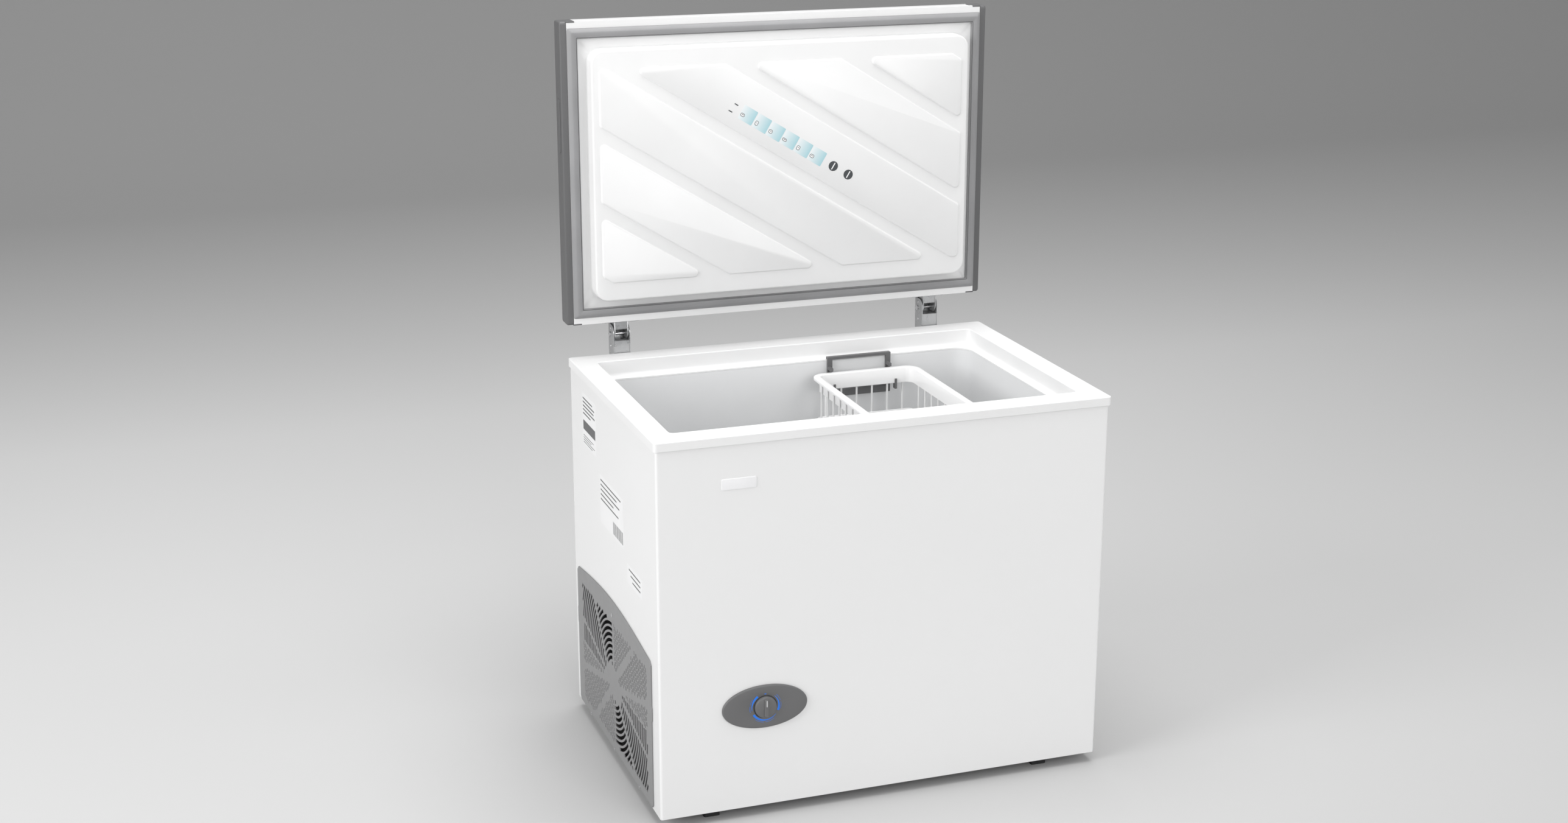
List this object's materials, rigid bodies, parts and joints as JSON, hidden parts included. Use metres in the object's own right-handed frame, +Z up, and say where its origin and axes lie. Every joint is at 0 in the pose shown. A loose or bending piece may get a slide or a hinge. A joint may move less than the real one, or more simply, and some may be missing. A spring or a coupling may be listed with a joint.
{
  "type": "chest freezer",
  "caption": "Chest freezer with its hinged lid standing open, a stepped inner tub, a hanging wire basket, a vented compressor cover and a round thermostat dial.",
  "frame": {"origin": "centre of the bounding box's underside, on the floor under the feet, with the lid standing open", "axes": "+X to the right as seen from the front, +Y from the front towards the back, +Z up"},
  "size_m": [0.93, 0.69, 1.468],
  "materials": {
    "white_enamel": "gloss",
    "white_plastic": "satin",
    "liner_plastic": "satin",
    "white_wire": "gloss",
    "dark_grey_plastic": "matte",
    "mid_grey_plastic": "satin",
    "grille_grey_plastic": "matte",
    "gasket_vinyl": "matte",
    "magnet_strip": "matte",
    "foam": "matte",
    "galvanised_steel": "satin",
    "bright_steel": "polished",
    "black_enamel": "satin",
    "black_rubber": "matte",
    "black_plastic": "matte",
    "copper_tube": "satin",
    "badge_white": "gloss"
  },
  "bodies": {
    "cabinet": {"back_panel": "galvanised_steel", "badge_plate": "badge_white", "base_plate": "galvanised_steel", "capillary_tube": "copper_tube", "compressor_bolts": "bright_steel", "compressor_bracket": "galvanised_steel", "compressor_grommets": "black_rubber", "compressor_shell": "black_enamel", "compressor_tray": "galvanised_steel", "condenser_coil": "black_enamel", "control_bezel": "mid_grey_plastic", "cord_gland": "black_rubber", "discharge_line": "copper_tube", "evaporator_coil": "copper_tube", "feet": "black_rubber", "filter_drier": "copper_tube", "foam_insulation": "foam", "foot_screws": "bright_steel", "grille_screws": "bright_steel", "hinge_pins": "bright_steel", "hinge_screws": "bright_steel", "inner_liner": "liner_plastic", "left_hinge_channel": "galvanised_steel", "left_hinge_spring": "bright_steel", "machine_room_liner": "galvanised_steel", "outer_shell": "white_enamel", "right_hinge_channel": "galvanised_steel", "right_hinge_spring": "bright_steel", "sensing_line": "copper_tube", "side_grille": "grille_grey_plastic", "suction_line": "copper_tube", "terminal_cover": "black_plastic", "thermostat_housing": "black_plastic", "top_collar": "white_plastic"},
    "lid": {"lid_outer_skin": "white_enamel", "lid_foam": "foam", "lid_inner_panel": "white_plastic", "lid_gasket": "gasket_vinyl", "gasket_magnet": "magnet_strip", "lid_cap_left": "dark_grey_plastic", "lid_cap_right": "dark_grey_plastic", "lid_back_profile": "white_plastic", "lid_front_profile": "white_plastic", "left_hinge_arm": "galvanised_steel", "right_hinge_arm": "galvanised_steel", "lid_hinge_screws": "bright_steel"},
    "left_plunger": {"left_plunger": "galvanised_steel"},
    "right_plunger": {"right_plunger": "galvanised_steel"},
    "dial": {"thermostat_knob": "mid_grey_plastic", "thermostat_shaft": "bright_steel"},
    "basket_hangers": {"hanger_back": "dark_grey_plastic", "hanger_front": "dark_grey_plastic"},
    "basket": {"basket_rim": "white_wire", "basket_wires": "white_wire", "basket_clips": "dark_grey_plastic"}
  },
  "joints": [
    {"name": "lid_hinge", "type": "hinge", "parent": "cabinet", "child": "lid", "pos_m": [0, 0.3262, 0.8142], "axis": [1, 0, 0], "range_deg": [0, 90]},
    {"name": "left_plunger_slide", "type": "slide", "parent": "cabinet", "child": "left_plunger", "axis": [0, 0, -1], "range_m": [0, 0.01601], "deforming": ["left_hinge_spring"]},
    {"name": "right_plunger_slide", "type": "slide", "parent": "cabinet", "child": "right_plunger", "axis": [0, 0, -1], "range_m": [0, 0.01601], "deforming": ["right_hinge_spring"]},
    {"name": "dial_turn", "type": "hinge", "parent": "cabinet", "child": "dial", "pos_m": [-0.251, -0.333, 0.23], "axis": [0, -1, 0], "range_deg": [-140, 140]},
    {"name": "basket_slide", "type": "slide", "parent": "cabinet", "child": "basket_hangers", "axis": [1, 0, 0], "range_m": [-0.43, 0.12]},
    {"name": "basket_lift", "type": "slide", "parent": "basket_hangers", "child": "basket", "axis": [0, 0, -1], "range_m": [-0.024, 0]}
  ],
  "couplings": [
    {"joint": "left_plunger_slide", "follows": "lid_hinge", "m_per_rad": 0.01019},
    {"joint": "right_plunger_slide", "follows": "lid_hinge", "m_per_rad": 0.01019}
  ]
}
